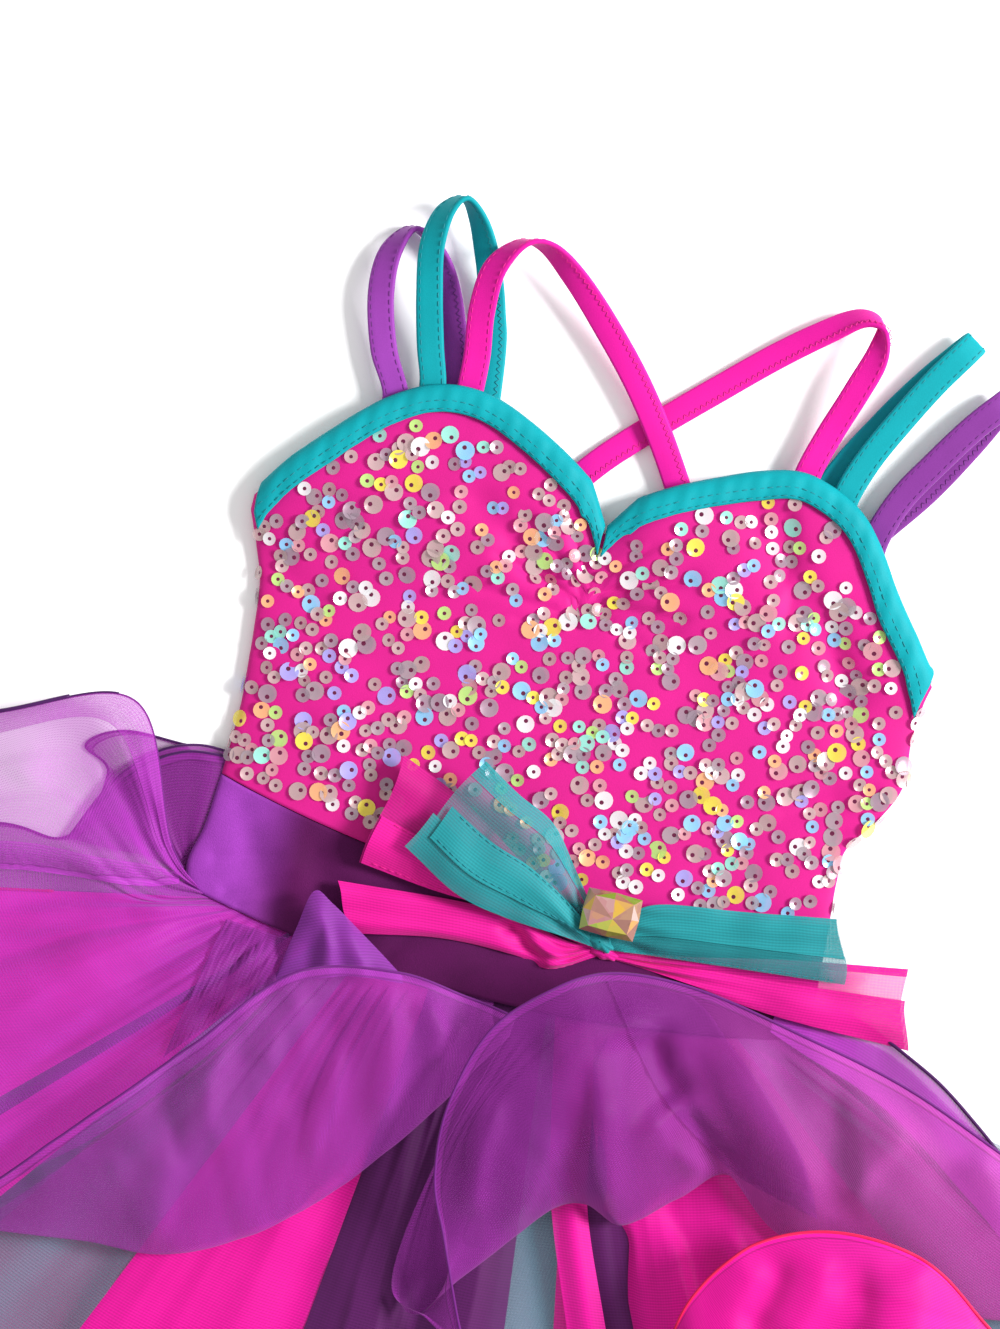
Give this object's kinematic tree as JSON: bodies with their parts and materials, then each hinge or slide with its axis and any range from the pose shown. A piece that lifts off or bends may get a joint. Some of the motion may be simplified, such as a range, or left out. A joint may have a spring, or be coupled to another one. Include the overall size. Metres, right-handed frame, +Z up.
{
  "type": "tutu dress",
  "caption": "Child's stage dress with a sequin bodice, crossed strap loops, a ribbon bow with a cut stone and a puffed net tutu skirt, lying flat.",
  "frame": {"origin": "middle of the waist, on the surface that the dress lies on", "axes": "+Z up from the surface, +Y from the waist towards the neck, +X across the dress, to the right of someone who looks down at its front"},
  "size_m": [0.6461, 0.4921, 0.0417],
  "materials": {
    "sequin_cloth": "stretch cloth with sewn sequins",
    "teal_stretch": "shiny stretch cloth",
    "purple_stretch": "soft napped stretch cloth",
    "pink_stretch": "matt stretch cloth",
    "purple_net": "sheer organza",
    "pink_net": "sheer organza",
    "teal_net": "sheer organza",
    "stone": "cut, with a rainbow coating"
  },
  "bodies": {
    "root": {"bodice_front": "sequin_cloth", "bodice_back": "sequin_cloth", "binding_front_left": "teal_stretch", "binding_front_right": "teal_stretch", "binding_back": "teal_stretch", "basque_front": "purple_stretch", "basque_back": "purple_stretch", "net_back": "purple_net", "gore_front_6": "pink_net", "net_front_left_side": "purple_net", "net_front_left": "purple_net", "net_front_right": "purple_net", "bow_knot": "pink_net", "stone": "stone", "strap_purple_left": "purple_stretch", "strap_teal_left": "teal_stretch", "strap_pink_left": "pink_stretch", "strap_pink_right": "pink_stretch", "strap_teal_right": "teal_stretch", "strap_purple_right": "purple_stretch", "gore_back_1": "teal_net", "gore_back_2": "pink_net", "gore_back_3": "teal_net", "gore_back_4": "pink_net", "gore_back_5": "teal_net", "gore_front_1": "pink_net", "gore_front_2": "teal_net", "gore_front_3": "pink_net", "gore_front_4": "purple_net", "gore_front_5": "pink_net", "gore_front_7": "teal_net", "bow_pink_upper_left": "pink_net", "bow_pink_lower_left": "pink_net", "bow_pink_right": "pink_net", "bow_teal_left": "teal_net", "bow_teal_right": "teal_net"}
  },
  "joints": []
}
